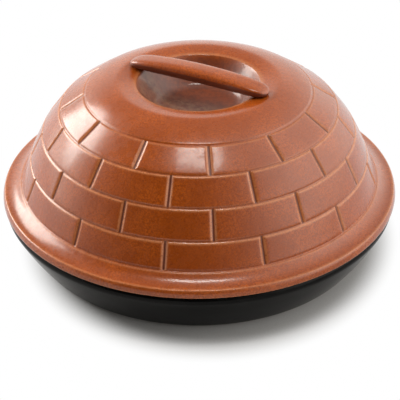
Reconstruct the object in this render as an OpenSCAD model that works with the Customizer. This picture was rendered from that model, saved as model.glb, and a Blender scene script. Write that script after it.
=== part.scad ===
// Stovetop pizza oven in stoneware: a shallow round base pan, a domed lid with a
// moulded brick pattern that rests on its rim, and a grip bar luted across a
// finger pocket in the crown of the lid.
// The origin is on the table, under the centre of the base. +Z is up, and the
// front of the oven faces -Y. All sizes are in millimetres.

/* [Lid flange] */
// Outside diameter of the flange, the widest part of the oven
flange_d = 310; // [296:1:340]
// Width of the flange outside the foot of the brick dome
flange_w = 15.3; // [13:0.1:20]
// Reach of the flange beyond the base's rim
flange_lap = 1.5; // [0.5:0.1:5]
// Height of the flange's upright edge
flange_edge_h = 7; // [6:0.5:10]
// Radius that rounds the flange's upper edge
flange_round = 2.5; // [1:0.5:4]
// Radius that breaks the flange's lower edge
flange_break = 1; // [0.5:0.1:2]

/* [Brick dome] */
// Height of the foot of the lowest course above the seat
foot_z = 12.4; // [10:0.1:16]
// Number of brick courses
courses = 4; // [3:1:4]
// Bricks in one course
bricks = 12; // [8:1:16]
// Sloping height of the lowest course
foot_brick_h = 21; // [18:0.1:24]
// Sloping height of every other course
brick_h = 23.4; // [20:0.1:25]
// Slope of the lowest course above the horizontal, in degrees
foot_slope = 67.2; // [62:0.1:72]
// Slope of the highest course above the horizontal, in degrees
top_slope = 33.2; // [30:0.1:40]
// Turn of the first upright joint to the right of the front, in degrees
bond_turn = 4.3; // [0:0.1:15]
// Width of the level joints between courses
bed_w = 2.6; // [2:0.1:5]
// Depth of the level joints
bed_d = 0.9; // [0.5:0.1:1.5]
// Depth of the lines where the bricks meet the crown and the flange
edge_d = 0.5; // [0.2:0.1:1.2]
// Width of the upright joints between bricks
perp_w = 4; // [2.4:0.1:6]
// Depth of the upright joints
perp_d = 1.2; // [0.8:0.1:2]

/* [Crown and pocket] */
// Radius of the arris round the highest part of the crown
crest_r = 62.5; // [58:0.5:68]
// Rise of the crest above the topmost joint
crest_rise = 8.3; // [6:0.1:12]
// Radius of the finger pocket at its rim
rim_r = 48.5; // [44:0.5:52]
// Drop from the crest to the pocket's rim
rim_drop = 2; // [1:0.1:4]
// Radius that rounds the pocket's rim
rim_round = 1.5; // [1:0.5:5]
// Depth of the pocket below the crest
pocket_depth = 24; // [18:0.5:30]
// Radius of the pocket's floor
pocket_floor_r = 32; // [26:0.5:36]
// Fall of the pocket's floor from its edge to its middle
pocket_dish = 1.5; // [0:0.1:3]

/* [Lid body] */
// Wall thickness of the lid
lid_wall = 8; // [6:0.5:10]
// Height of the locating ring below the seat
ring_drop = 5; // [3:0.5:8]
// Thickness of the locating ring
ring_w = 6; // [4:0.5:8]
// Play between the locating ring and the base's wall
ring_play = 1.5; // [0.5:0.1:3]

/* [Grip bar] */
// Overall length of the bar
bar_len = 118; // [108:1:124]
// Width of the bar at its middle
bar_w = 18; // [12:0.5:22]
// Thickness of the bar at its middle
bar_h = 14; // [10:0.5:15]
// Height of the middle of the bar above the crest
bar_lift = 3.5; // [2.5:0.5:7]
// Fall of the bar's centre line from the middle to each end
bar_arch = 2.2; // [1.5:0.1:3.5]
// Turn of the bar from the X axis, in degrees
bar_turn = -29; // [-45:1:0]
// Thickness of the layer of slip under the bar's feet
slip = 0.05; // [0.02:0.01:0.1]

/* [Base pan] */
// Height of the base from the table to the seat
base_h = 41; // [36:0.5:60]
// Slope of the base's wall above the horizontal, in degrees
base_slope = 60.7; // [55:0.1:70]
// Wall thickness of the base
base_wall = 9; // [7:0.5:11]
// Thickness of the baking floor
base_floor = 8; // [6:0.5:11]
// Radius that rounds the rim's edges
base_round = 2; // [1:0.5:3]
// Radius that rounds the outside where the wall turns into the foot
foot_round = 5; // [2:0.5:7]
// Reach of the curve between the baking floor and the inside of the wall
heel = 12; // [6:0.5:16]
// Height of the recess inside the foot ring
foot_h = 2; // [1:0.5:4]
// Width of the foot ring
foot_w = 8; // [5:0.5:12]

/* [Hidden] */
$fn = 96;

clay = "#b0633c";
black_glaze = "#1c1d1f";

// Steps along the curves of the profiles and of the bar
corner_steps = 4;
joint_steps = 4;
curve_steps = 6;
bar_sides = 24;
bar_rings = 40;

// Slopes of the lid's outside, and angles by which its curves leave their chords
cove_slope = 38;
cove_angle = 20;
crown_angle = 10;
shoulder_angle = 5.5;
lip_slope = 68;
pocket_angle = 16;
dish_angle = 3;

// Form of the bar: the share of its thickness above its widest line, how square its
// section is above and below that line, how blunt its ends are, how much thinner it
// gets towards them, and how small its last section is
bar_face_ratio = 0.48;
bar_face_power = 0.75;
bar_under_power = 1.25;
bar_blunt_power = 13;
bar_thinning_ratio = 0.45;
bar_tip_ratio = 0.02;

// Point at distance d from p, along angle a
function step(p, a, d) = p + d * [cos(a), sin(a)];

// Angle of the way from p to q
function way(p, q) = atan2(q.y - p.y, q.x - p.x);

// Shallow curve from p to q, bulging by sag to the left of the way
function bow(p, q, sag, n) =
    let (side = [p.y - q.y, q.x - p.x] / norm(q - p))
    [for (i = [0:n]) let (t = i / n) p + t * (q - p) + 4 * sag * t * (1 - t) * side];

// The same curve, given by the angle by which it leaves its chord at both ends
function bend(p, q, a, n) = bow(p, q, norm(q - p) * tan(a) / 4, n);

// Round corner about c from angle a0 to a1
function corner(c, r, a0, a1, n) = [for (i = [0:n]) step(c, a0 + (a1 - a0) * i / n, r)];

// The courses flatten with the square of their number, as a dome does
function slope(k) = foot_slope - (foot_slope - top_slope) * pow(k / (courses - 1), 2);
function course_h(k) = k == 0 ? foot_brick_h : brick_h;

flange_r = flange_d / 2;
foot_r = flange_r - flange_w;
base_r = flange_r - flange_lap;

// Level ring below course k, where the outer faces of two courses would meet
function ring(k) = k == 0 ? [foot_r, foot_z] : step(ring(k - 1), 180 - slope(k - 1), course_h(k - 1));

// Arrises of the level joint at ring k, on the course below and the course above
function below(k) = step(ring(k), k == 0 ? -cove_slope : -slope(k - 1), bed_w / 2);
function above(k) = step(ring(k), 180 - (k == courses ? top_slope : slope(k)), bed_w / 2);

top_ring = ring(courses);
crest = [crest_r, top_ring.y + crest_rise];
rim = [rim_r, crest.y - rim_drop];
shoulder_way = way(rim, crest);

// Outside of the crown: up from the topmost joint to the crest, and inwards to the rim
crown_line = bend(above(courses), crest, -crown_angle, curve_steps);
shoulder_line = bend(crest, rim, -shoulder_angle, corner_steps);

// Rounded lip of the pocket, then its wall and its dished floor
rim_slope = shoulder_way + shoulder_angle;
rim_centre = step(rim, 270 - rim_slope, rim_round);
lip_line = corner(rim_centre, rim_round, 90 + rim_slope, 90 + lip_slope, corner_steps);
lip_end = lip_line[corner_steps];
pocket_z = crest.y - pocket_depth;
pocket_foot = [pocket_floor_r, pocket_z + pocket_dish];
pocket_wall_line = bend(lip_end, pocket_foot, pocket_angle, curve_steps);
pocket_floor_line = bend(pocket_foot, [0, pocket_z], dish_angle, corner_steps);
crown_top = concat(crown_line, shoulder_line, lip_line, pocket_wall_line, pocket_floor_line);

// Outside of the brick dome, with its level joints
function level_d(k) = k == 0 || k == courses ? edge_d : bed_d;
dome_line = [for (k = [0:courses]) each bow(below(k), above(k), level_d(k), joint_steps)];

// Outside of the flange, from its lower edge to the cove at the foot of the dome
flange_arris = [flange_r - flange_round, flange_edge_h];
flange_line = concat(
    corner([flange_r - flange_break, flange_break], flange_break, -90, 0, corner_steps),
    corner(flange_arris - [0, flange_round], flange_round, 0, 90, corner_steps),
    bend(flange_arris, below(0), cove_angle, curve_steps));

// Point a wall's thickness behind p, where the outside arrives along angle a and
// leaves along angle b, going away from the axis
function behind(p, a, b) = step(p, (a + b) / 2 - 90, lid_wall / cos((a - b) / 2));
function behind_ring(k) = behind(ring(k), -slope(min(k, courses - 1)), -slope(max(k - 1, 0)));

// Outside of the base's wall at height z, before its edges are rounded
wall_across = base_wall / sin(base_slope);
rim_across = base_round / sin(base_slope);
function wall_r(z) = base_r - base_round + rim_across - (base_h - base_round - z) / tan(base_slope);

// The locating ring keeps its play all the way down the base's wall
ring_foot_r = wall_r(base_h - ring_drop) - wall_across - ring_play;
ring_top_r = ring_foot_r + ring_drop / tan(base_slope);
pocket_way = way(pocket_foot, lip_end);
inner_line = concat(
    [[0, pocket_z - lid_wall], behind(pocket_foot, 0, pocket_way)],
    bend(behind(rim, pocket_way, shoulder_way), behind_ring(courses), crown_angle, corner_steps),
    [for (k = [courses - 1:-1:0]) behind_ring(k)],
    [[ring_foot_r - ring_w, 0], [ring_foot_r - ring_w, -ring_drop]],
    [[ring_foot_r, -ring_drop], [ring_top_r, 0]]);

// One round-bottomed upright joint, laid along the face of course k
module upright_joint(k) {
    radius = (perp_w * perp_w / 4 + perp_d * perp_d) / (2 * perp_d);
    from = step(ring(k), 90 - slope(k), radius - perp_d);
    translate([from.x, 0, from.y])
        rotate([0, slope(k) - 90, 0])
            cylinder(h = course_h(k), r = radius);
}

// Every second course is set off by half a brick
module brick_joints() {
    pitch = 360 / bricks;
    for (k = [0:courses - 1])
        for (b = [0:bricks - 1])
            rotate(bond_turn - 90 + (b + (k % 2 == 0 ? 0.5 : 0)) * pitch)
                upright_joint(k);
}

module dome_lid() {
    color(clay)
        translate([0, 0, base_h])
            difference() {
                rotate_extrude()
                    polygon(concat(flange_line, dome_line, crown_top, inner_line));
                brick_joints();
            }
}

// Height of the crown or of the pocket at radius r
function crown_z(r) = lookup(r, crown_top);

// Surface of the bar: u from -1 to 1 along it, a round its section
function squared(v, power) = sign(v) * pow(abs(v), power);
function bar_close(u) = max(sqrt(max(1 - pow(abs(u), bar_blunt_power), 0)), bar_tip_ratio);
function bar_point(u, a) =
    let (power = sin(a) > 0 ? bar_face_power : bar_under_power)
    let (share = sin(a) > 0 ? bar_face_ratio : 1 - bar_face_ratio)
    let (thick = bar_h * (1 - bar_thinning_ratio * u * u) * bar_close(u))
    let (centre = crest.y + bar_lift - bar_arch * u * u)
    let (widest = centre + (0.5 - bar_face_ratio) * thick)
    let (x = u * bar_len / 2)
    let (y = squared(cos(a), power) * bar_w / 2 * bar_close(u))
    let (z = widest + squared(sin(a), power) * share * thick)
    [x, y, max(z, crown_z(norm([x, y])) + slip)];

// The bar's underside follows the crown where it stands on it
module lid_handle() {
    points = [for (i = [0:bar_rings]) for (j = [0:bar_sides - 1])
        bar_point(sin(90 * (2 * i / bar_rings - 1)), 360 * j / bar_sides)];
    sides = [for (i = [0:bar_rings - 1]) for (j = [0:bar_sides - 1])
        let (a = i * bar_sides + j, b = i * bar_sides + (j + 1) % bar_sides)
        each [[a, b, a + bar_sides], [b, b + bar_sides, a + bar_sides]]];
    first_end = [for (j = [bar_sides - 1:-1:0]) j];
    last_end = [for (j = [0:bar_sides - 1]) bar_rings * bar_sides + j];
    color(clay)
        translate([0, 0, base_h])
            rotate(bar_turn)
                polyhedron(points, concat(sides, [first_end, last_end]));
}

module base_pan() {
    foot_centre = [wall_r(0) - foot_round * tan(base_slope / 2), foot_round];
    foot_in = foot_centre.x - foot_w;
    rim_out = [base_r - base_round, base_h - base_round];
    rim_in = rim_out + [2 * rim_across - wall_across, 0];
    floor_z = foot_h + base_floor;
    floor_r = wall_r(floor_z) - wall_across;
    color(black_glaze)
        rotate_extrude()
            polygon(concat(
                [[0, foot_h], [foot_in - foot_h, foot_h], [foot_in, 0]],
                corner(foot_centre, foot_round, -90, base_slope - 90, corner_steps),
                corner(rim_out, base_round, base_slope - 90, 90, corner_steps),
                corner(rim_in, base_round, 90, 90 + base_slope, corner_steps),
                bend(step([floor_r, floor_z], base_slope, heel), [floor_r - heel, floor_z],
                    base_slope / 2, curve_steps),
                [[0, floor_z]]));
}

base_pan();
dome_lid();
lid_handle();
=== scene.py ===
# Looks of a stovetop pizza oven in glazed stoneware: a black base pan, a brown domed
# lid with moulded bricks, and a grip bar across the finger pocket in its crown.
# Sizes are in millimetres and degrees. Heights of the lid and of the bar count from the
# seat between lid and base, and those of the base from the table. The meshes that shell()
# makes are in metres.
import math

import bpy
import numpy as np
from mathutils import Matrix, Vector


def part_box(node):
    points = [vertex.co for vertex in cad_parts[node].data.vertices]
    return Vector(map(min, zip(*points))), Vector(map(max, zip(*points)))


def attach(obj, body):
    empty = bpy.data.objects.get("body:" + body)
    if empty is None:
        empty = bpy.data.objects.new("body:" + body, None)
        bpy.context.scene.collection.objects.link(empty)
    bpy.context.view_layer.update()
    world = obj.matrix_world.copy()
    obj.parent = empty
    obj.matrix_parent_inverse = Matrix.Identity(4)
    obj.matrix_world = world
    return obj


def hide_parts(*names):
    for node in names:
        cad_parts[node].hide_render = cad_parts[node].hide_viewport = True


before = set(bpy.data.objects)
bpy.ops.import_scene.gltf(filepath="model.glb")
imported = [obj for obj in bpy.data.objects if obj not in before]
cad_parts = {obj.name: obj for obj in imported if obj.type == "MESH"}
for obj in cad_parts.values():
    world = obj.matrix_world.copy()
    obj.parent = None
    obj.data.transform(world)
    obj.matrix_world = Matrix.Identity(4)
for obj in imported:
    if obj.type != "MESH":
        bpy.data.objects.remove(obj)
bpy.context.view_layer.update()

MM = 0.001

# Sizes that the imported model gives
lid_low, lid_high = (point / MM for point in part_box("dome_lid"))
base_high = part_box("base_pan")[1] / MM
SEAT = base_high.z
FLANGE_R = lid_high.x
BASE_R = base_high.x
CREST_Z = lid_high.z - SEAT
RING_DROP = SEAT - lid_low.z

# Lid flange: its edge stands upright below and leans back above, up to a small arris, and
# a shallow cove goes on to the foot of the dome
FLANGE_W = 15.3
FLANGE_EDGE_H = 6.2
FLANGE_ROUND = 1.2
FLANGE_LEAN = 30
FLANGE_BREAK = 1
COVE_SLOPE = 38
COVE_ANGLE = 20

# Brick dome: BED is the level joint between courses, EDGE the level joint at the crown
# and at the flange, and PERP the upright joint between bricks. PILLOW is how far a face
# falls off beside a joint. The seed is that of the bricks' tones.
FOOT_Z = 12.4
COURSES = 4
BRICKS = 12
FOOT_BRICK_H = 21
BRICK_H = 23.4
FOOT_SLOPE = 67.2
TOP_SLOPE = 33.2
BOND_TURN = 4.3
BED_W = 2.6
BED_D = 0.9
EDGE_D = 0.5
PERP_W = 4
PERP_D = 1.2
PILLOW_D = 0.25
PILLOW_REACH = 6
TONE_SEED = 7

# Slow unevenness of the bricks: how far it reaches, how long its waves are, and its seed.
# Unevenness and pillows fade out towards the foot and the top of the courses.
UNEVEN = ((0.10, 34, 3), (0.05, 15, 4))
UNEVEN_FADE = 10

# Form of a joint's section: where it is half deep, as a share of its width, how flat its
# bottom is, and where and how widely its glaze thins beside it; the pale arris below a level
# joint is also a painted highlight
HALF_DEPTH_SHARE = 0.32
GROOVE_POWER = 2.2
WALL_SHARE = 0.40
ARRIS_REACH = 0.8

# Power by which the deeper of two joints that cross wins
CROSSING_POWER = 6

# Crown and pocket: the last steps of the pocket's wall and the first steps of its floor
# give way to a soft corner
CREST_R = 62.5
RIM_R = 48.5
RIM_DROP = 2
RIM_ROUND = 1.5
POCKET_DEPTH = 24
POCKET_FLOOR_R = 32
POCKET_DISH = 1.5
CROWN_ANGLE = 10
SHOULDER_ANGLE = 5.5
LIP_SLOPE = 56
POCKET_ANGLE = 4
DISH_ANGLE = 3
WALL_STEPS = 12
WALL_EASE = 5
BOWL_STEPS = 8
BOWL_EASE = 3

# Painted shade in the pocket, a darker colour where shade falls: how far outside the rim it
# starts, over what way in it becomes full, and over what way down. Painted sheen in its front
# left, a paler colour where its floor mirrors the light: the share of its direction along X,
# and where it starts and over what way it becomes full.
POCKET_SHADE_START = 1
POCKET_SHADE_REACH = 6
POCKET_SHADE_DROP = 4
POCKET_SHEEN_TURN = 0.45
POCKET_SHEEN_START = -9
POCKET_SHEEN_REACH = 9

# Where glaze thins on other edges: on the pocket's lip, where its pale line is also a painted
# highlight, its way in from the rim and its share, and on the flange, the way in from the
# edge, the height and the share
LIP_IN = 0.5
LIP_THIN_AND_HIGHLIGHT = 0.8
FLANGE_THIN = ((2, 5.84, 0.8), (0.3, 0.3, 0.4))

# Inside of the lid, with the locating ring and the reach of the curves at its corners
LID_WALL = 8
RING_W = 6
RING_PLAY = 1.5
INNER_EASE = 1.5

# Grip bar, and its section: the share of its thickness above its widest line, how square
# it is above and below that line, how blunt its ends are, how much thinner it gets
# towards them, and how small its last section is. The slip is the clay under its ends.
BAR_LEN = 118
BAR_W = 18
BAR_H = 12
BAR_LIFT = 4.5
BAR_ARCH = 2.6
BAR_TURN = -29
BAR_FACE_SHARE = 0.40
BAR_FACE_POWER = 0.58
BAR_UNDER_POWER = 0.90
BAR_BLUNT_POWER = 13
BAR_THINNING = 0.36
BAR_TIP = 0.02
BAR_ROWS = 90
BAR_SIDES = 64
SLIP = 0.05

# Painted shade on the bar's underside, as the dark colour of pooled glaze: where it starts round
# the section, how much higher it starts at the ends, and how soft its edge is
BAR_SHADE_TOP = 0.12
BAR_SHADE_RISE = 0.20
BAR_SHADE = 0.10

# Base pan: BASE_BULGE is the angle by which its wall leaves the straight way, HEEL the
# reach of the curve between wall and floor, and FOOT_EASE that of the foot's inner corners
BASE_SLOPE = 59.3
BASE_WALL = 9
BASE_FLOOR = 8
BASE_ROUND = 5
BASE_ROUND_IN = 3
BASE_BULGE = 5
FOOT_ROUND = 5
HEEL = 12
FOOT_H = 2
FOOT_W = 8
FOOT_EASE = 0.6

# Bare ring under the foot: the height where it ends, and how soft its edge is
BARE_TOP = 1.2
BARE_REACH = 0.8

# Columns of the base's mesh, and the longest step along its outline
BASE_COLUMNS = 288
BASE_STEP = 8

# Rows of points beside a level joint and columns beside an upright one
LEVEL_OFFSETS = (0, 0.4, 0.7, 1, 1.3, 1.6, 2, 2.8, 4.5)
UPRIGHT_OFFSETS = (0, 0.6, 1.1, 1.5, 1.9, 2.3, 2.8, 3.6, 5)

# Rows and columns on the rest of a brick, the least way from a joint's rows to a point of
# the outline, the radii between which columns keep their distance from the upright
# joints, and the way over which a row's normal is taken
BRICK_ROWS = 4
BRICK_COLUMNS = 3
ROW_CLEARANCE = 0.5
COLUMN_RADII = (80, 145)
NORMAL_REACH = 1.0


def step(p, angle, distance):
    """Point at a distance from p, along an angle in degrees."""
    a = math.radians(angle)
    return np.array([p[0] + distance * math.cos(a), p[1] + distance * math.sin(a)])


def way(p, q):
    """Angle of the way from p to q, in degrees."""
    return math.degrees(math.atan2(q[1] - p[1], q[0] - p[0]))


def bend(p, q, angle, n):
    """Shallow curve from p to q in n steps, which leaves its chord by an angle at both ends."""
    p, q = np.asarray(p, float), np.asarray(q, float)
    t = np.linspace(0, 1, n + 1)[:, None]
    side = np.array([p[1] - q[1], q[0] - p[0]])
    return p + t * (q - p) + math.tan(math.radians(angle)) * t * (1 - t) * side


def corner(c, r, a0, a1, n):
    """Round corner about c from angle a0 to a1, in n steps."""
    a = np.radians(np.linspace(a0, a1, n + 1))[:, None]
    return np.asarray(c, float) + r * np.hstack([np.cos(a), np.sin(a)])


def eased(points, reach=math.inf, n=4):
    """Polyline with a curve of n steps at each corner, which stays within reach of the corner
    and on its own half of each side."""
    points = np.asarray(points, float)
    t = np.linspace(0, 1, n + 1)[:, None]
    most = 0.45
    out = [points[:1]]
    for a, p, b in zip(points[:-2], points[1:-1], points[2:]):
        start = p + (a - p) * min(reach / np.linalg.norm(a - p), most)
        end = p + (b - p) * min(reach / np.linalg.norm(b - p), most)
        out.append((1 - t) ** 2 * start + 2 * t * (1 - t) * p + t ** 2 * end)
    out.append(points[-1:])
    return np.vstack(out)


def slope(k):
    """Slope of course k, which flattens with the square of its number."""
    return FOOT_SLOPE - (FOOT_SLOPE - TOP_SLOPE) * (k / (COURSES - 1)) ** 2


def level_rings():
    """Points where the outer faces of two courses meet, from the foot of the dome up."""
    rings = [np.array([FLANGE_R - FLANGE_W, FOOT_Z])]
    for k in range(COURSES):
        rings.append(step(rings[k], 180 - slope(k), FOOT_BRICK_H if k == 0 else BRICK_H))
    return rings


RINGS = level_rings()


def crown_outline():
    """Outside of the crown from the topmost level joint to the middle of the pocket."""
    crest = np.array([CREST_R, CREST_Z])
    rim = np.array([RIM_R, CREST_Z - RIM_DROP])
    rim_slope = way(rim, crest) + SHOULDER_ANGLE
    rim_centre = step(rim, 270 - rim_slope, RIM_ROUND)
    lip = corner(rim_centre, RIM_ROUND, 90 + rim_slope, 90 + LIP_SLOPE, 5)
    foot = np.array([POCKET_FLOOR_R, CREST_Z - POCKET_DEPTH + POCKET_DISH])
    middle = np.array([0, CREST_Z - POCKET_DEPTH])
    start = step(RINGS[COURSES], 180 - TOP_SLOPE, BED_W / 2)
    wall = bend(lip[-1], foot, POCKET_ANGLE, WALL_STEPS)
    bowl = bend(foot, middle, DISH_ANGLE, BOWL_STEPS)
    return np.vstack([
        bend(start, crest, -CROWN_ANGLE, 12)[:-1],
        bend(crest, rim, -SHOULDER_ANGLE, 6)[:-1],
        lip,
        wall[1:-WALL_EASE - 1],
        eased([wall[-WALL_EASE - 1], foot, bowl[BOWL_EASE]], n=8),
        bowl[BOWL_EASE + 1:],
    ])


CROWN = crown_outline()


def crown_z(r):
    """Height of the crown or of the pocket at radius r."""
    return np.interp(r, CROWN[::-1, 0], CROWN[::-1, 1])


def flange_outline():
    """Outside of the flange from its lower edge to the foot of the dome."""
    sine = math.sin(math.radians(FLANGE_LEAN))
    face_top = FLANGE_EDGE_H - FLANGE_ROUND * (1 - sine)
    face_r = (face_top - FLANGE_BREAK) / sine
    face = corner((FLANGE_R - face_r, FLANGE_BREAK), face_r, 0, FLANGE_LEAN, 8)
    arris_centre = step(face[-1], FLANGE_LEAN, -FLANGE_ROUND)
    arris = corner(arris_centre, FLANGE_ROUND, FLANGE_LEAN, 90, 7)
    cove_end = step(RINGS[0], -COVE_SLOPE, BED_W / 2)
    return np.vstack([
        corner((FLANGE_R - FLANGE_BREAK, FLANGE_BREAK), FLANGE_BREAK, -90, 0, 5),
        face[1:],
        arris[1:],
        bend(arris[-1], cove_end, COVE_ANGLE, 10)[1:],
    ])


def behind(p, a, b):
    """Point a wall's thickness behind p, where the outside turns from angle a to b."""
    return step(p, (a + b) / 2 - 90, LID_WALL / math.cos(math.radians((a - b) / 2)))


def wall_r(z):
    """Outside radius of the base's wall at a height above the table."""
    edge = BASE_ROUND / math.sin(math.radians(BASE_SLOPE))
    drop = (SEAT - BASE_ROUND - z) / math.tan(math.radians(BASE_SLOPE))
    return BASE_R - BASE_ROUND + edge - drop


def inner_outline():
    """Inside of the lid from its middle, down to the locating ring and out to the flange."""
    across = BASE_WALL / math.sin(math.radians(BASE_SLOPE))
    ring_foot = wall_r(SEAT - RING_DROP) - across - RING_PLAY
    ring_top = ring_foot + RING_DROP / math.tan(math.radians(BASE_SLOPE))
    foot = (POCKET_FLOOR_R, CREST_Z - POCKET_DEPTH + POCKET_DISH)
    rim = (RIM_R, CREST_Z - RIM_DROP)
    pocket_way = way(foot, rim)
    points = [(0, CREST_Z - POCKET_DEPTH - LID_WALL), behind(foot, 0, pocket_way)]
    points.append(behind(rim, pocket_way, way(rim, (CREST_R, CREST_Z))))
    for k in range(COURSES, -1, -1):
        points.append(behind(RINGS[k], -slope(min(k, COURSES - 1)), -slope(max(k - 1, 0))))
    points += [(ring_foot - RING_W, 0), (ring_foot - RING_W, -RING_DROP)]
    points += [(ring_foot, -RING_DROP), (ring_top, 0), (FLANGE_R - FLANGE_BREAK, 0)]
    return eased(points, INNER_EASE, 2)[:-1]


def arc_lengths(line):
    """Way along a polyline to each of its points."""
    return np.concatenate([[0], np.cumsum(np.linalg.norm(np.diff(line, axis=0), axis=1))])


def along(line, lengths, s):
    """Points of a polyline at the ways s."""
    return np.stack([np.interp(s, lengths, line[:, axis]) for axis in (0, 1)], axis=-1)


def groove(d, width):
    """Share of a joint's full depth at distance d from its middle, with soft arrises."""
    return np.exp(-math.log(2) * (np.abs(d) / (width * HALF_DEPTH_SHARE)) ** GROOVE_POWER)


def pillow(d, width):
    """Share by which a brick's face falls off beside a joint."""
    return np.exp(-np.maximum(np.abs(d) - width / 2, 0) / PILLOW_REACH)


def both_sides(offsets):
    """Offsets on both sides of the middle of a joint, from the lowest up."""
    return np.array(sorted({sign * d for d in offsets for sign in (-1, 1)}))


def dome_rows():
    """Rows up the outside of the lid, as points, normals and ways along it; ways of the rings."""
    line = np.vstack([flange_outline(), RINGS, CROWN])
    lengths = arc_lengths(line)
    start = len(flange_outline())
    ring_s = lengths[start:start + COURSES + 1]
    beside = LEVEL_OFFSETS[-1]
    clear = np.abs(lengths[:, None] - ring_s).min(axis=1) > beside + ROW_CLEARANCE
    rows = list(lengths[clear])
    for s in ring_s:
        rows += list(s + both_sides(LEVEL_OFFSETS))
    for a, b in zip(ring_s[:-1], ring_s[1:]):
        rows += list(np.linspace(a + beside, b - beside, BRICK_ROWS + 2)[1:-1])
    s = np.sort(np.array(rows))
    ahead = along(line, lengths, np.minimum(s + NORMAL_REACH, lengths[-1]))
    back = along(line, lengths, np.maximum(s - NORMAL_REACH, 0))
    tangent = ahead - back
    normal = np.stack([tangent[:, 1], -tangent[:, 0]], axis=1)
    normal /= np.linalg.norm(normal, axis=1)[:, None]
    return along(line, lengths, s), normal, s, ring_s


def joint_columns():
    """Function from a radius to the azimuths of its columns, which keep beside the joints."""
    offsets = both_sides(UPRIGHT_OFFSETS)
    half_pitch = math.pi / BRICKS
    starts = math.radians(BOND_TURN - 90) + half_pitch * np.arange(2 * BRICKS)

    def at(r):
        reach = offsets / np.clip(r, *COLUMN_RADII)
        gap = np.linspace(reach[-1], half_pitch + reach[0], BRICK_COLUMNS + 2)[1:-1]
        return (starts[:, None] + np.concatenate([reach, gap])).ravel()
    return at


def wave(points, size, seed):
    """Slow unevenness between -1 and 1, about size millimetres long."""
    rng = np.random.default_rng(seed)
    total = np.zeros(points.shape[:-1])
    count = 6
    for _ in range(count):
        direction = rng.normal(size=3)
        direction *= 2 * math.pi / size / np.linalg.norm(direction)
        total += np.sin(points @ direction + rng.uniform(0, 2 * math.pi))
    return total / count


def revolve(outline, columns):
    """Grid of points from an outline turned about Z."""
    grid = []
    for r, z in outline:
        a = columns(r)
        grid.append(np.stack([r * np.cos(a), r * np.sin(a), np.full_like(a, z)], axis=-1))
    return np.array(grid)


def breaking(grid):
    """Curvature over a wrapped grid, in 1/mm: above 0 on an arris and below 0 in a recess."""
    def unit(v):
        return v / np.maximum(np.linalg.norm(v, axis=-1), 1e-9)[..., None]
    up = np.concatenate([grid[1:], grid[-1:]])
    down = np.concatenate([grid[:1], grid[:-1]])
    left, right = np.roll(grid, 1, axis=1), np.roll(grid, -1, axis=1)
    normal = unit(np.cross(right - left, up - down))
    total = np.zeros(grid.shape[:2])
    for a, b in ((up, down), (left, right)):
        length = np.linalg.norm(a - grid, axis=-1) + np.linalg.norm(b - grid, axis=-1)
        pull = (unit(a - grid) + unit(b - grid)) * normal
        part = -2 * pull.sum(axis=-1) / np.maximum(length, 1e-6)
        total = np.where(np.abs(part) > np.abs(total), part, total)
    total[0] = total[-1] = 0
    return total


def shell(name, grid, first, last, **values):
    """Closed mesh from a grid of rings that ends in a point on both sides."""
    rows, columns = grid.shape[:2]
    points = np.vstack([grid.reshape(-1, 3), [first, last]])
    index = np.arange(rows * columns).reshape(rows, columns)
    after = np.roll(index, -1, axis=1)
    quads = np.stack([index[:-1], after[:-1], after[1:], index[1:]], axis=-1).reshape(-1, 4)
    first_fan = [(rows * columns, b, a) for a, b in zip(index[0], after[0])]
    last_fan = [(rows * columns + 1, a, b) for a, b in zip(index[-1], after[-1])]
    mesh = bpy.data.meshes.new(name)
    mesh.from_pydata((points * MM).tolist(), [], quads.tolist() + first_fan + last_fan)
    for key, value in values.items():
        flat = np.concatenate([value.ravel(), [value[0].mean(), value[-1].mean()]])
        layer = mesh.attributes.new(key, "FLOAT", "POINT")
        layer.data.foreach_set("value", flat.astype(np.float32))
    mesh.polygons.foreach_set("use_smooth", [True] * len(mesh.polygons))
    mesh.validate()
    piece = bpy.data.objects.new(name, mesh)
    bpy.context.scene.collection.objects.link(piece)
    return piece


def edge_thinning(outline):
    """Share by which the glaze thins on the pocket's lip, where it also stands for a painted
    highlight, and on the flange's arrises.
    """
    radius, height = outline[:, :1], outline[:, 1:]
    # The lip's pale line is partly thinned glaze, partly a painted highlight where the rim
    # catches the light
    thin_and_highlight = LIP_THIN_AND_HIGHLIGHT * np.exp(-((radius - RIM_R + LIP_IN) / ARRIS_REACH) ** 2)
    for inward, z, share in FLANGE_THIN:
        away = np.hypot(radius - (FLANGE_R - inward), height - z)
        thin_and_highlight = np.maximum(thin_and_highlight, share * np.exp(-(away / ARRIS_REACH) ** 2))
    return thin_and_highlight


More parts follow.
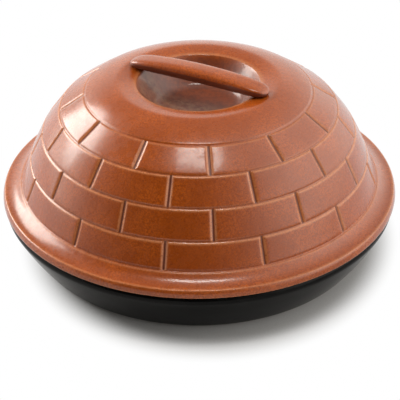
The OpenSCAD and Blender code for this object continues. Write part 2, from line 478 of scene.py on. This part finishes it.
def joint_values(outline, azimuth, s, ring_s):
    """Depth of the joints, fall of the faces beside them, thinning of the glaze with a painted
    highlight on the arris below each level joint, and tone of the glaze.
    """
    radius = outline[:, :1]
    from_ring = s[:, None] - ring_s
    ring_d = np.array([EDGE_D] + [BED_D] * (COURSES - 1) + [EDGE_D])
    level = (groove(from_ring, BED_W) * ring_d).max(axis=1)[:, None]
    swell = pillow(from_ring, BED_W).max(axis=1)[:, None]
    # Only the arris below each level joint is paler: partly thinned glaze, partly a painted
    # highlight where it faces up to the light
    lower_arris = np.exp(-((from_ring + BED_W / 2) / ARRIS_REACH) ** 2)
    thin_and_highlight = (lower_arris * (ring_d / BED_D)).max(axis=1)[:, None]
    thin_and_highlight = np.broadcast_to(np.maximum(thin_and_highlight, edge_thinning(outline)), azimuth.shape)
    upright, fall, tone = (np.zeros(azimuth.shape) for _ in range(3))
    rng = np.random.default_rng(TONE_SEED)
    pitch = 2 * math.pi / BRICKS
    for k in range(COURSES):
        inside = ((s > ring_s[k]) & (s < ring_s[k + 1]))[:, None]
        turn = azimuth - math.radians(BOND_TURN - 90) - (pitch / 2 if k % 2 == 0 else 0)
        brick = np.floor(turn / pitch).astype(int) % BRICKS
        distance = (turn / pitch - np.round(turn / pitch)) * pitch * radius
        upright = np.where(inside, PERP_D * groove(distance, PERP_W), upright)
        fall = np.where(inside, PILLOW_D * np.maximum(pillow(distance, PERP_W), swell), fall)
        wall = np.exp(-((np.abs(distance) - PERP_W * WALL_SHARE) / ARRIS_REACH) ** 2)
        thin_and_highlight = np.where(inside, np.maximum(thin_and_highlight, wall), thin_and_highlight)
        tone = np.where(inside, rng.uniform(-1, 1, BRICKS)[brick], tone)
    depth = (level ** CROSSING_POWER + upright ** CROSSING_POWER) ** (1 / CROSSING_POWER)
    return depth, fall, thin_and_highlight, tone


def pocket_shade_and_sheen(grid, radius):
    """Painted shade all over the inside of the pocket, and a painted sheen in its front left."""
    pocket_shade = np.clip((RIM_R + POCKET_SHADE_START - radius) / POCKET_SHADE_REACH, 0, 1)
    pocket_shade = pocket_shade * np.clip((CREST_Z - grid[..., 2]) / POCKET_SHADE_DROP, 0, 1)
    front_left = -POCKET_SHEEN_TURN * grid[..., 0] - math.sqrt(1 - POCKET_SHEEN_TURN ** 2) * grid[..., 1]
    return pocket_shade, pocket_shade * np.clip((front_left - POCKET_SHEEN_START) / POCKET_SHEEN_REACH, 0, 1)


def dome_shell():
    """The lid: flange, four courses of bricks, crown, pocket and the plain inside."""
    outline, normal, s, ring_s = dome_rows()
    columns = joint_columns()
    azimuth = np.array([columns(r) for r in outline[:, 0]])
    depth, fall, thin_and_highlight, tone = joint_values(outline, azimuth, s, ring_s)
    outward = np.stack([
        normal[:, :1] * np.cos(azimuth),
        normal[:, :1] * np.sin(azimuth),
        np.broadcast_to(normal[:, 1:], azimuth.shape),
    ], axis=-1)
    grid = revolve(outline, columns) - outward * depth[..., None]
    uneven = sum(reach * wave(grid, size, seed) for reach, size, seed in UNEVEN)
    fade_in = np.clip((s - ring_s[0]) / UNEVEN_FADE, 0, 1)
    fade = fade_in * np.clip((ring_s[-1] - s) / UNEVEN_FADE, 0, 1)
    grid = grid + outward * ((uneven - fall) * fade[:, None])[..., None]
    pocket_shade, pocket_sheen = pocket_shade_and_sheen(grid, outline[:, :1])
    inner = revolve(inner_outline()[1:], columns)
    whole = np.vstack([inner, grid[:-1]])
    plain = np.zeros(inner.shape[:2])
    values = {"recess": depth / PERP_D, "pocket_shade": pocket_shade, "pocket_sheen": pocket_sheen, "tone": tone, "thin_and_highlight": thin_and_highlight}
    values = {key: np.vstack([plain, value[:-1]]) for key, value in values.items()}
    first = (0, 0, CREST_Z - POCKET_DEPTH - LID_WALL + SEAT)
    last = (0, 0, CREST_Z - POCKET_DEPTH + SEAT)
    return shell("dome", whole + (0, 0, SEAT), first, last, arris=breaking(whole), **values)


def squared(v, power):
    """Sine or cosine made fuller, which squares a round section."""
    return np.sign(v) * np.abs(v) ** power


def bar_shell():
    """The grip bar: blunt ends that stand on the crown, and a bridge over the pocket."""
    u = np.sin(np.radians(90) * (2 * np.arange(1, BAR_ROWS) / BAR_ROWS - 1))[:, None]
    a = 2 * math.pi * np.arange(BAR_SIDES) / BAR_SIDES
    close = np.maximum(np.sqrt(np.maximum(1 - np.abs(u) ** BAR_BLUNT_POWER, 0)), BAR_TIP)
    x = np.broadcast_to(u * BAR_LEN / 2, (BAR_ROWS - 1, BAR_SIDES))
    power = np.where(np.sin(a) > 0, BAR_FACE_POWER, BAR_UNDER_POWER)
    share = np.where(np.sin(a) > 0, BAR_FACE_SHARE, 1 - BAR_FACE_SHARE)
    thick = BAR_H * (1 - BAR_THINNING * u * u) * close
    widest = CREST_Z + BAR_LIFT - BAR_ARCH * u * u + (0.5 - BAR_FACE_SHARE) * thick
    y = squared(np.cos(a), power) * BAR_W / 2 * close
    z = widest + squared(np.sin(a), power) * share * thick
    z = np.maximum(z, crown_z(np.hypot(x, y)) + SLIP)
    turn = math.radians(BAR_TURN)
    grid = np.stack([
        x * math.cos(turn) - y * math.sin(turn),
        x * math.sin(turn) + y * math.cos(turn),
        z + SEAT,
    ], axis=-1)
    # Painted shade under the bar: its underside gets the dark colour of pooled glaze, standing in
    # for the shade there
    under = np.clip((BAR_SHADE_TOP + BAR_SHADE_RISE * u * u - np.sin(a)) / BAR_SHADE, 0, 1)
    first, last = grid[0].mean(axis=0), grid[-1].mean(axis=0)
    return shell("grip_bar", grid, first, last, recess=under)


def base_outline():
    """The base pan from the middle of its underside, over its rim, to the middle of its floor."""
    foot_centre = (wall_r(0) - FOOT_ROUND * math.tan(math.radians(BASE_SLOPE / 2)), FOOT_ROUND)
    foot_in = foot_centre[0] - FOOT_W
    foot = corner(foot_centre, FOOT_ROUND, -90, BASE_SLOPE - BASE_BULGE - 90, 8)
    sine = math.sin(math.radians(BASE_SLOPE))
    rim_out = np.array([BASE_R - BASE_ROUND, SEAT - BASE_ROUND])
    rim = corner(rim_out, BASE_ROUND, BASE_SLOPE + BASE_BULGE - 90, 90, 10)
    rise = BASE_ROUND - BASE_ROUND_IN
    across = (BASE_ROUND + BASE_ROUND_IN - BASE_WALL) / sine
    rim_in = rim_out + (across + rise / math.tan(math.radians(BASE_SLOPE)), rise)
    floor_z = FOOT_H + BASE_FLOOR
    floor_r = wall_r(floor_z) - BASE_WALL / sine
    heel_start = step((floor_r, floor_z), BASE_SLOPE, HEEL)
    under = [(0, FOOT_H), (foot_in - FOOT_H, FOOT_H), (foot_in, 0), (foot_centre[0], 0)]
    return np.vstack([
        eased(under, FOOT_EASE)[:-1],
        foot,
        bend(foot[-1], rim[0], -BASE_BULGE, 10)[1:-1],
        rim,
        corner(rim_in, BASE_ROUND_IN, 90, 90 + BASE_SLOPE, 6)[1:],
        bend(heel_start, (floor_r - HEEL, floor_z), BASE_SLOPE / 2, 8),
        [(0, floor_z)],
    ])


def split_long(line, longest):
    """The same polyline with points added on its long stretches."""
    out = [line[:1]]
    for p, q in zip(line[:-1], line[1:]):
        n = max(1, math.ceil(np.linalg.norm(q - p) / longest))
        out.append(p + np.linspace(0, 1, n + 1)[1:, None] * (q - p))
    return np.vstack(out)


def base_shell():
    """The base pan, turned about Z, with a bare ring under its foot."""
    outline = split_long(base_outline(), BASE_STEP)
    azimuth = 2 * math.pi * np.arange(BASE_COLUMNS) / BASE_COLUMNS
    grid = revolve(outline[1:-1], lambda r: azimuth)
    first, last = (0, 0, outline[0][1]), (0, 0, outline[-1][1])
    bare = np.clip((BARE_TOP - grid[..., 2]) / BARE_REACH, 0, 1)
    return shell("base", grid, first, last, bare=bare)


def put(tree, kind, settings=None, **inputs):
    """Adds a shader node. An input is given by its name, or by its number as in i0, and is a
    value or another node's output."""
    node = tree.nodes.new("ShaderNode" + kind)
    for key, value in (settings or {}).items():
        setattr(node, key, value)
    for key, value in inputs.items():
        numbered = key[0] == "i" and key[1:].isdigit()
        socket = node.inputs[int(key[1:]) if numbered else key.replace("_", " ")]
        if isinstance(value, bpy.types.NodeSocket):
            tree.links.new(value, socket)
        else:
            socket.default_value = value
    return node


def material(name):
    """New empty node material, with its output."""
    made = bpy.data.materials.new(name)
    made.use_nodes = True
    made.node_tree.nodes.clear()
    return made, made.node_tree, made.node_tree.nodes.new("ShaderNodeOutputMaterial")


def ramp(tree, value, low, high, to_low=0.0, to_high=1.0):
    """Value mapped smoothly from low..high to to_low..to_high."""
    settings = {"interpolation_type": "SMOOTHSTEP"}
    node = put(tree, "MapRange", settings, i0=value, i1=low, i2=high, i3=to_low, i4=to_high)
    return node.outputs[0]


def maths(tree, operation, a, b=0.0):
    """One operation on two numbers."""
    return put(tree, "Math", {"operation": operation}, i0=a, i1=b).outputs[0]


def blend(tree, factor, a, b):
    """Colour between a and b."""
    return put(tree, "Mix", {"data_type": "RGBA"}, i0=factor, i6=a, i7=b).outputs[2]


def blend_number(tree, factor, a, b):
    """Number between a and b."""
    return put(tree, "MapRange", i0=factor, i1=0.0, i2=1.0, i3=a, i4=b).outputs[0]


def noise(tree, where, size, detail, roughness):
    """Noise of about size millimetres, between 0 and 1."""
    return put(tree, "TexNoise", Vector=where, Scale=1 / (size * MM), Detail=detail,
               Roughness=roughness).outputs["Fac"]


def pattern(tree, where, values, shift=None):
    """Noise that is mapped to a range, by the values of one of the patterns below."""
    size, detail, roughness, *mapped = values
    level = noise(tree, where, size, detail, roughness)
    if shift is not None:
        level = maths(tree, "ADD", level, shift)
    return ramp(tree, level, *mapped)


def bumps(tree, where, size, depth, strength):
    """Fine uneven surface, as a normal."""
    height = noise(tree, where, size, 2, 0.5)
    return put(tree, "Bump", Height=height, Strength=strength, Distance=depth * MM).outputs[0]


def attribute(tree, name):
    """A value that the mesh carries at each of its points, or 0 where it carries none."""
    return put(tree, "Attribute", {"attribute_name": name}).outputs["Fac"]


# Patterns, each with the size of its noise in millimetres, its detail and roughness, then
# the two levels of the noise between which it changes, and what it gives at each of them

# Brown glaze: plain, darker in clouds and grain, thin over arrises and painted lighter as a
# highlight on some, pooled in joints and painted dark as shade under the bar, painted dark as
# shade in the pocket, and painted paler as a sheen in the pocket's front left
CLAY = (0.50, 0.102, 0.009, 1)
CLAY_DARK = (0.34, 0.062, 0.005, 1)
CLAY_THIN_AND_HIGHLIT = (0.70, 0.26, 0.10, 1)
CLAY_POOL_AND_SHADE = (0.11, 0.016, 0.002, 1)
SPECK = (0.20, 0.035, 0.006, 1)
POCKET_SHADE_COLOUR = (0.15, 0.032, 0.012, 1)
POCKET_SHEEN_COLOUR = (0.40, 0.19, 0.095, 1)
CLOUDS = (26, 3, 0.5, 0.36, 0.64, 0.35, 1)
GRAIN = (1.2, 2, 0.6, 0.42, 0.58, 0, 1)
PATCHES = (5, 2, 0.5, 0.2, 0.6, 0.5, 0.85)
SPECKS = (0.9, 1, 0.5, 0.58, 0.70, 0, 0.65)
POCKET_SHADE_MOTTLE = (3, 3, 0.5, 0.35, 0.65, 0.6, 0.9)
POCKET_SHEEN_MOTTLE = (4.5, 5, 0.7, 0.38, 0.62, 0, 0.6)
ROUGH = (6, 3, 0.5, 0.3, 0.7, 0.24, 0.32)

# How values on the mesh are read: the two levels of each, and what it gives at them
POOL_AND_SHADE = (0.6, 1.0, 0, 0.85)
WORN = (0.2, 1.0, 0, 0.5)

# How far a brick's tone shifts its clouds, how much duller the glaze is where it pools, where
# shade is painted under the bar and where shade is painted in the pocket, its fine surface as
# size, depth and strength, and its clear layer
TONE_SHIFT = 0.05
POOL_AND_SHADE_DULL = 0.3
POCKET_SHADE_DULL = 0.2
PEEL = (1, 0.1, 0.6)
GLASS_IOR = 1.5
COAT = 0.55
COAT_ROUGHNESS = 0.07


def brown_colour(tree, where, pool_and_shade):
    """Colour of the brown glaze, from its patterns and from the values on the mesh."""
    shift = maths(tree, "MULTIPLY", attribute(tree, "tone"), TONE_SHIFT)
    colour = blend(tree, pattern(tree, where, CLOUDS, shift), CLAY_DARK, CLAY)
    colour = blend(tree, pattern(tree, where, GRAIN), colour, CLAY_DARK)
    worn_and_highlit = ramp(tree, attribute(tree, "arris"), *WORN)
    worn_and_highlit = maths(tree, "MAXIMUM", worn_and_highlit, attribute(tree, "thin_and_highlight"))
    patchy = maths(tree, "MULTIPLY", worn_and_highlit, pattern(tree, where, PATCHES))
    colour = blend(tree, patchy, colour, CLAY_THIN_AND_HIGHLIT)
    colour = blend(tree, pool_and_shade, colour, CLAY_POOL_AND_SHADE)
    colour = blend(tree, pattern(tree, where, SPECKS), colour, SPECK)
    # Painted shade: the pocket gets a darker, mottled colour where shade falls in it
    pocket_shade_share = maths(tree, "MULTIPLY", attribute(tree, "pocket_shade"), pattern(tree, where, POCKET_SHADE_MOTTLE))
    colour = blend(tree, pocket_shade_share, colour, POCKET_SHADE_COLOUR)
    # Painted sheen: the pocket's front left gets a paler colour where its floor mirrors the light
    pocket_sheen_share = maths(tree, "MULTIPLY", attribute(tree, "pocket_sheen"), pattern(tree, where, POCKET_SHEEN_MOTTLE))
    return blend(tree, pocket_sheen_share, colour, POCKET_SHEEN_COLOUR)


def brown_glaze():
    """Brown glaze with a clear layer on it, duller where it pools, where shade is painted under
    the bar, and where shade is painted in the pocket.
    """
    made, tree, out = material("brown_glaze")
    where = put(tree, "TexCoord").outputs["Object"]
    # Pooled glaze darkens the joints; under the grip bar the same mask is painted shade
    pool_and_shade = ramp(tree, attribute(tree, "recess"), *POOL_AND_SHADE)
    dull = maths(tree, "MULTIPLY", pool_and_shade, POOL_AND_SHADE_DULL)
    rough = maths(tree, "ADD", pattern(tree, where, ROUGH), dull)
    dull = maths(tree, "MULTIPLY", attribute(tree, "pocket_shade"), POCKET_SHADE_DULL)
    rough = maths(tree, "ADD", rough, dull)
    normal = bumps(tree, where, *PEEL)
    shader = put(tree, "BsdfPrincipled", Base_Color=brown_colour(tree, where, pool_and_shade),
                 Roughness=rough, Normal=normal, Coat_Normal=normal, IOR=GLASS_IOR,
                 Coat_Weight=COAT, Coat_Roughness=COAT_ROUGHNESS, Coat_IOR=GLASS_IOR)
    tree.links.new(shader.outputs[0], out.inputs[0])
    return made


# Black glaze with worn patches and specks, and the bare stoneware of the foot ring
BLACK = (0.0025, 0.0025, 0.0025, 1)
BLACK_WORN = (0.006, 0.006, 0.006, 1)
BLACK_SPECK = (0.03, 0.028, 0.026, 1)
BARE = (0.36, 0.27, 0.20, 1)
BARE_DARK = (0.22, 0.16, 0.12, 1)
WORN_PATCHES = (18, 3, 0.5, 0.3, 0.7, 0, 1)
BLACK_SPECKS = (0.8, 1, 0.5, 0.68, 0.76, 0, 0.5)
SAND = (0.7, 2, 0.5, 0.4, 0.65, 0, 1)
BLACK_ROUGH = (9, 3, 0.5, 0.3, 0.7, 0.10, 0.15)
BARE_ROUGHNESS = 0.85
RIPPLE = (2, 0.1, 0.2)
BLACK_IOR = 1.22


def black_glaze():
    """Glossy black glaze, with the bare stoneware of the foot ring."""
    made, tree, out = material("black_glaze")
    where = put(tree, "TexCoord").outputs["Object"]
    colour = blend(tree, pattern(tree, where, WORN_PATCHES), BLACK, BLACK_WORN)
    colour = blend(tree, pattern(tree, where, BLACK_SPECKS), colour, BLACK_SPECK)
    stoneware = blend(tree, pattern(tree, where, SAND), BARE, BARE_DARK)
    bare = attribute(tree, "bare")
    colour = blend(tree, bare, colour, stoneware)
    rough = blend_number(tree, bare, pattern(tree, where, BLACK_ROUGH), BARE_ROUGHNESS)
    shader = put(tree, "BsdfPrincipled", Base_Color=colour, Roughness=rough,
                 Normal=bumps(tree, where, *RIPPLE), IOR=BLACK_IOR)
    tree.links.new(shader.outputs[0], out.inputs[0])
    return made


# The photograph's camera: it stands in front, a metre from the middle of the seat, and
# looks down at it, turned by a small pan, tilt and roll to frame it
CAMERA_ELEVATION = 31.51
CAMERA_DISTANCE = 1.0
CAMERA_PAN = 0.026
CAMERA_TILT = -0.793
CAMERA_ROLL = 0.553
FRAME_WIDTH = 400
FOCAL_PIXELS = 1251.7
SENSOR = 36


def place_camera():
    """Camera at the photograph's viewing angle."""
    elevation = math.radians(CAMERA_ELEVATION)
    ahead = Vector((0, math.cos(elevation), -math.sin(elevation)))
    right = Vector((1, 0, 0))
    up = right.cross(ahead)
    aim = ahead + math.radians(CAMERA_PAN) * right + math.radians(CAMERA_TILT) * up
    aim.normalize()
    right = aim.cross(up).normalized()
    up = right.cross(aim)
    roll = Matrix.Rotation(-math.radians(CAMERA_ROLL), 3, "Z")
    turn = Matrix((right, up, -aim)).transposed() @ roll
    data = bpy.data.cameras.new("camera")
    data.sensor_width = SENSOR
    data.lens = FOCAL_PIXELS / FRAME_WIDTH * SENSOR
    camera = bpy.data.objects.new("camera", data)
    bpy.context.scene.collection.objects.link(camera)
    place = -CAMERA_DISTANCE * ahead + Vector((0, 0, SEAT * MM))
    camera.matrix_world = Matrix.Translation(place) @ turn.to_4x4()
    bpy.context.scene.camera = camera


# Soft glows round the oven, each with its azimuth, its elevation and its strength;
# azimuth 0 is behind the oven and 90 to its right
GLOWS = (
    (35, 5, 1.20),
    (75, 10, 1.00),
    (115, 14, 1.55),
    (85, 48, 1.45),
    (0, 60, 0.20),
    (-62, 2, 2.50),
    (-95, 4, 0.25),
)
GLOW_FOCUS = 7
LIGHT_COLOUR = (1, 0.965, 0.91)

# Softboxes, each with its name, azimuth and elevation, its distance, width and height in
# metres, and its radiance; and the height above the table that they face, in metres
SOFTBOXES = (
    ("key", -60, 28, 1.5, 0.95, 0.75, 7.8),
    ("overhead", 180, 83, 1.5, 0.50, 0.18, 18),
)
LAMP_AIM_HEIGHT = 0.08

# White backdrop behind the oven that the glaze mirrors. It fades to both sides and at its
# top, between two values of the unit direction along Y and along Z.
BACKDROP_SIDES = (-0.2, 0.2)
BACKDROP_TOP = (0.35, 0.65)


def aim_at(azimuth, elevation):
    """Unit vector towards a place round the oven."""
    a, e = math.radians(azimuth), math.radians(elevation)
    return Vector((math.sin(a) * math.cos(e), math.cos(a) * math.cos(e), math.sin(e)))


def softbox(name, azimuth, elevation, distance, width, height, radiance):
    """Area lamp that faces the middle of the oven; azimuth 0 is behind it and 90 to its right."""
    place = distance * aim_at(azimuth, elevation)
    data = bpy.data.lights.new(name, "AREA")
    data.shape = "RECTANGLE"
    data.size, data.size_y = width, height
    data.energy = radiance * math.pi * width * height
    data.color = LIGHT_COLOUR
    lamp = bpy.data.objects.new(name, data)
    lamp.rotation_euler = (-place).to_track_quat("-Z", "Y").to_euler()
    lamp.location = place + Vector((0, 0, LAMP_AIM_HEIGHT))
    bpy.context.scene.collection.objects.link(lamp)


def surroundings():
    """World of soft glows, white where the camera sees it."""
    world = bpy.data.worlds.new("studio")
    bpy.context.scene.world = world
    world.use_nodes = True
    tree = world.node_tree
    tree.nodes.clear()
    direction = put(tree, "TexCoord").outputs["Generated"]
    total = 0.0
    for azimuth, elevation, strength in GLOWS:
        aim = aim_at(azimuth, elevation)
        dot = put(tree, "VectorMath", {"operation": "DOT_PRODUCT"}, i0=direction, i1=aim)
        away = maths(tree, "SUBTRACT", dot.outputs["Value"], 1.0)
        glow = maths(tree, "EXPONENT", maths(tree, "MULTIPLY", away, GLOW_FOCUS))
        total = maths(tree, "ADD", maths(tree, "MULTIPLY", glow, strength), total)
    path = put(tree, "LightPath").outputs
    axes = put(tree, "SeparateXYZ", Vector=direction).outputs
    behind_oven = ramp(tree, axes["Y"], *BACKDROP_SIDES)
    below_top = ramp(tree, axes["Z"], *BACKDROP_TOP, 1.0, 0.0)
    backdrop = maths(tree, "MULTIPLY", behind_oven, below_top)
    mirrored = maths(tree, "MULTIPLY", backdrop, path["Is Glossy Ray"])
    total = maths(tree, "MAXIMUM", total, mirrored)
    total = maths(tree, "MAXIMUM", total, path["Is Camera Ray"])
    colour = blend(tree, path["Is Camera Ray"], (*LIGHT_COLOUR, 1), (1, 1, 1, 1))
    background = put(tree, "Background", Color=colour, Strength=total)
    out = put(tree, "OutputWorld")
    tree.links.new(background.outputs[0], out.inputs[0])


# Floor: half its width in metres, its two greys, and the pattern of its fibres
FLOOR_HALF = 3
PAPER = (0.57, 0.57, 0.57, 1)
PAPER_LIGHT = (0.60, 0.60, 0.60, 1)
FIBRES = (1.5, 2, 0.5, 0.3, 0.7, 0, 1)

# The floor keeps the oven's shadow inside an ellipse, and turns plain white between the
# two radii, in metres. Along X the ellipse is narrower by a factor and moved to the right.
SHADOW_RADII = (0.144, 0.176)
SHADOW_SQUEEZE = (1.14, 1, 1)
SHADOW_SHIFT = (-0.008, 0, 0)

# Places along Y, in metres, between which the floor turns white where the glaze mirrors it
MIRRORED_FLOOR = (-0.15, 0.05)


def floor():
    """Pale floor that keeps the oven's shadow and is white further off."""
    mesh = bpy.data.meshes.new("floor")
    ends = ((-1, -1), (1, -1), (1, 1), (-1, 1))
    corners = [(x * FLOOR_HALF, y * FLOOR_HALF, 0) for x, y in ends]
    mesh.from_pydata(corners, [], [(0, 1, 2, 3)])
    plane = bpy.data.objects.new("floor", mesh)
    bpy.context.scene.collection.objects.link(plane)
    made, tree, out = material("paper")
    where = put(tree, "TexCoord").outputs["Object"]
    colour = blend(tree, pattern(tree, where, FIBRES), PAPER, PAPER_LIGHT)
    paper = put(tree, "BsdfDiffuse", Color=colour)
    white = put(tree, "Emission", Color=(1, 1, 1, 1), Strength=1.0)
    place = put(tree, "VectorMath", {"operation": "MULTIPLY_ADD"}, i0=where,
                i1=SHADOW_SQUEEZE, i2=SHADOW_SHIFT).outputs["Vector"]
    distance = put(tree, "VectorMath", {"operation": "LENGTH"}, i0=place).outputs["Value"]
    path = put(tree, "LightPath").outputs
    y = put(tree, "SeparateXYZ", Vector=where).outputs["Y"]
    mirrored = maths(tree, "MULTIPLY", ramp(tree, y, *MIRRORED_FLOOR), path["Is Glossy Ray"])
    seen = maths(tree, "MAXIMUM", path["Is Camera Ray"], mirrored)
    far = maths(tree, "MULTIPLY", ramp(tree, distance, *SHADOW_RADII), seen)
    mix = put(tree, "MixShader", i0=far, i1=paper.outputs[0], i2=white.outputs[0])
    tree.links.new(mix.outputs[0], out.inputs[0])
    mesh.materials.append(made)


def dress(piece, node, body, glaze):
    """Gives a piece its glaze and puts it in the place of its CAD node."""
    piece.data.materials.append(glaze)
    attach(piece, body)
    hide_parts(node)


place_camera()
brown = brown_glaze()
black = black_glaze()
for cad_node, cad_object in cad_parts.items():
    cad_object.data.materials.clear()
    cad_object.data.materials.append(black if cad_node == "base_pan" else brown)
dress(base_shell(), "base_pan", "base", black)
dress(dome_shell(), "dome_lid", "lid", brown)
dress(bar_shell(), "lid_handle", "lid", brown)

floor()
surroundings()
for lamp_values in SOFTBOXES:
    softbox(*lamp_values)
bpy.context.scene.view_settings.view_transform = "Standard"
